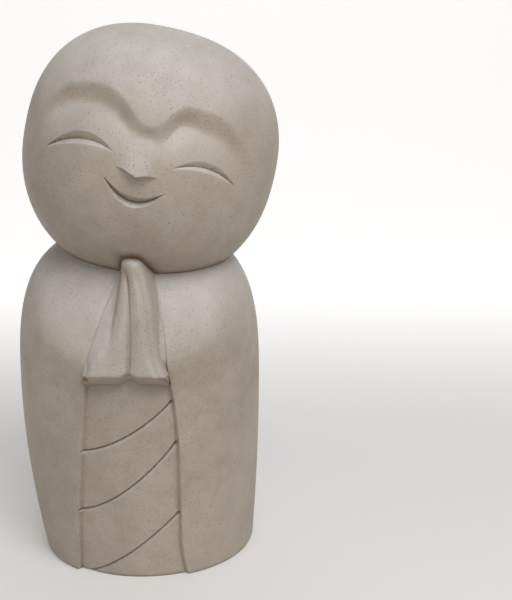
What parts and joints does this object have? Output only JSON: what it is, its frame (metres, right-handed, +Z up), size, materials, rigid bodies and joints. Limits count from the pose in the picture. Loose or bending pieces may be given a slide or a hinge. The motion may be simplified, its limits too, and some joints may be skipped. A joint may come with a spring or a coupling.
{
  "type": "stone jizo statue",
  "caption": "Standing child-like stone figure with a large round smiling head, palms pressed together in prayer and a long plain robe; it stands on its flat underside.",
  "frame": {"origin": "on the flat underside, below the middle of the body", "axes": "+Z up, -Y the way the figure faces, +X to the right of someone who looks at its face"},
  "size_m": [0.298, 0.274, 0.6],
  "materials": {
    "cast_stone": "matte"
  },
  "bodies": {
    "root": {"jizo_statue": "cast_stone"}
  },
  "joints": []
}
